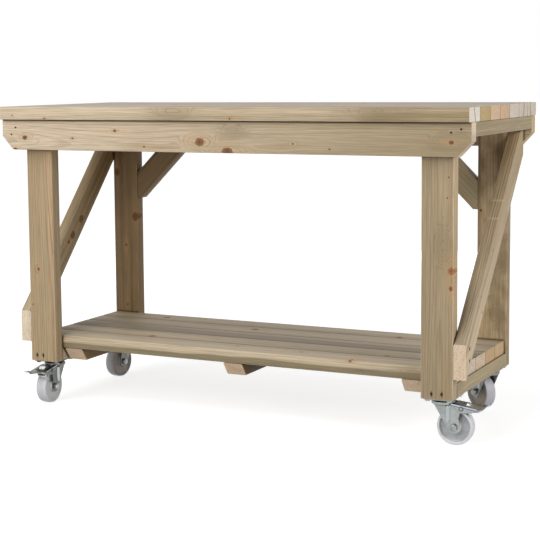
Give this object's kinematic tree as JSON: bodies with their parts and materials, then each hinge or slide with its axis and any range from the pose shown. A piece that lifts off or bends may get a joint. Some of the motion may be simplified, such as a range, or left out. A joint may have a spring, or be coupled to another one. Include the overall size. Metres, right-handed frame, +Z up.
{
  "type": "mobile workbench",
  "caption": "Mobile softwood workbench with a planked top, a lower shelf, diagonal braces and swivel casters on nylon wheels, the front ones with toe brakes.",
  "frame": {"origin": "on the floor under the middle of the bench", "axes": "+X along the bench to the right as seen from the front, -Y out of the front, +Z up"},
  "size_m": [1.4654, 0.642, 0.9],
  "materials": {
    "planed_softwood": "planed treated softwood, beige with a faint green tinge, unvarnished",
    "softwood_boards": "planed treated softwood boards, greyer beige, unvarnished",
    "zinc_plated_steel": "bright zinc plate on pressed steel",
    "white_nylon": "moulded white nylon, satin"
  },
  "bodies": {
    "bench": {"top_board_1": "softwood_boards", "top_board_2": "softwood_boards", "top_board_3": "softwood_boards", "top_board_4": "softwood_boards", "top_board_5": "softwood_boards", "top_board_6": "softwood_boards", "top_board_7": "softwood_boards", "shelf_board_1": "softwood_boards", "shelf_board_2": "softwood_boards", "shelf_board_3": "softwood_boards", "shelf_board_4": "softwood_boards", "shelf_board_5": "softwood_boards", "apron_front": "planed_softwood", "apron_rear": "planed_softwood", "top_rail_left": "planed_softwood", "top_rail_middle": "planed_softwood", "top_rail_right": "planed_softwood", "lower_rail_left": "planed_softwood", "lower_rail_right": "planed_softwood", "leg_front_left": "planed_softwood", "leg_front_right": "planed_softwood", "leg_rear_left": "planed_softwood", "leg_rear_right": "planed_softwood", "side_brace_left": "planed_softwood", "side_brace_right": "planed_softwood", "knee_brace_left": "planed_softwood", "knee_brace_right": "planed_softwood", "shelf_bearer_left": "planed_softwood", "shelf_bearer_middle": "planed_softwood", "shelf_bearer_right": "planed_softwood", "caster_front_left_plate": "zinc_plated_steel", "caster_front_left_kingpin": "zinc_plated_steel", "caster_front_right_plate": "zinc_plated_steel", "caster_front_right_kingpin": "zinc_plated_steel", "caster_rear_left_plate": "zinc_plated_steel", "caster_rear_left_kingpin": "zinc_plated_steel", "caster_rear_right_plate": "zinc_plated_steel", "caster_rear_right_kingpin": "zinc_plated_steel"},
    "swivel_front_left": {"caster_front_left_fork": "zinc_plated_steel", "caster_front_left_axle_tube": "zinc_plated_steel", "caster_front_left_axle_bolt": "zinc_plated_steel", "caster_front_left_axle_nut": "zinc_plated_steel"},
    "wheel_front_left": {"caster_front_left_wheel": "white_nylon"},
    "brake_front_left": {"caster_front_left_brake_pedal": "zinc_plated_steel"},
    "swivel_front_right": {"caster_front_right_fork": "zinc_plated_steel", "caster_front_right_axle_tube": "zinc_plated_steel", "caster_front_right_axle_bolt": "zinc_plated_steel", "caster_front_right_axle_nut": "zinc_plated_steel"},
    "wheel_front_right": {"caster_front_right_wheel": "white_nylon"},
    "brake_front_right": {"caster_front_right_brake_pedal": "zinc_plated_steel"},
    "swivel_rear_left": {"caster_rear_left_fork": "zinc_plated_steel", "caster_rear_left_axle_tube": "zinc_plated_steel", "caster_rear_left_axle_bolt": "zinc_plated_steel", "caster_rear_left_axle_nut": "zinc_plated_steel"},
    "wheel_rear_left": {"caster_rear_left_wheel": "white_nylon"},
    "swivel_rear_right": {"caster_rear_right_fork": "zinc_plated_steel", "caster_rear_right_axle_tube": "zinc_plated_steel", "caster_rear_right_axle_bolt": "zinc_plated_steel", "caster_rear_right_axle_nut": "zinc_plated_steel"},
    "wheel_rear_right": {"caster_rear_right_wheel": "white_nylon"}
  },
  "joints": [
    {"name": "swivel_front_left_turn", "type": "hinge", "parent": "bench", "child": "swivel_front_left", "pos_m": [-0.6225, -0.2068, 0.115], "axis": [0, 0, 1], "continuous": true},
    {"name": "wheel_front_left_roll", "type": "hinge", "parent": "swivel_front_left", "child": "wheel_front_left", "pos_m": [-0.62097, -0.24177, 0.05], "axis": [0.999, 0.0436, 0], "continuous": true},
    {"name": "brake_front_left_press", "type": "hinge", "parent": "swivel_front_left", "child": "brake_front_left", "pos_m": [-0.6201, -0.26175, 0.103], "axis": [0.999, 0.0436, 0], "range_deg": [0, 10]},
    {"name": "swivel_front_right_turn", "type": "hinge", "parent": "bench", "child": "swivel_front_right", "pos_m": [0.6225, -0.2068, 0.115], "axis": [0, 0, 1], "continuous": true},
    {"name": "wheel_front_right_roll", "type": "hinge", "parent": "swivel_front_right", "child": "wheel_front_right", "pos_m": [0.65745, -0.20497, 0.05], "axis": [-0.0523, 0.9986, 0], "continuous": true},
    {"name": "brake_front_right_press", "type": "hinge", "parent": "swivel_front_right", "child": "brake_front_right", "pos_m": [0.67743, -0.20392, 0.103], "axis": [-0.0523, 0.9986, 0], "range_deg": [0, 10]},
    {"name": "swivel_rear_left_turn", "type": "hinge", "parent": "bench", "child": "swivel_rear_left", "pos_m": [-0.6225, 0.2068, 0.115], "axis": [0, 0, 1], "continuous": true},
    {"name": "wheel_rear_left_roll", "type": "hinge", "parent": "swivel_rear_left", "child": "wheel_rear_left", "pos_m": [-0.62677, 0.17206, 0.05], "axis": [0.9925, -0.1219, 0], "continuous": true},
    {"name": "swivel_rear_right_turn", "type": "hinge", "parent": "bench", "child": "swivel_rear_right", "pos_m": [0.6225, 0.2068, 0.115], "axis": [0, 0, 1], "continuous": true},
    {"name": "wheel_rear_right_roll", "type": "hinge", "parent": "swivel_rear_right", "child": "wheel_rear_right", "pos_m": [0.59418, 0.22737, 0.05], "axis": [-0.5878, -0.809, 0], "continuous": true}
  ]
}
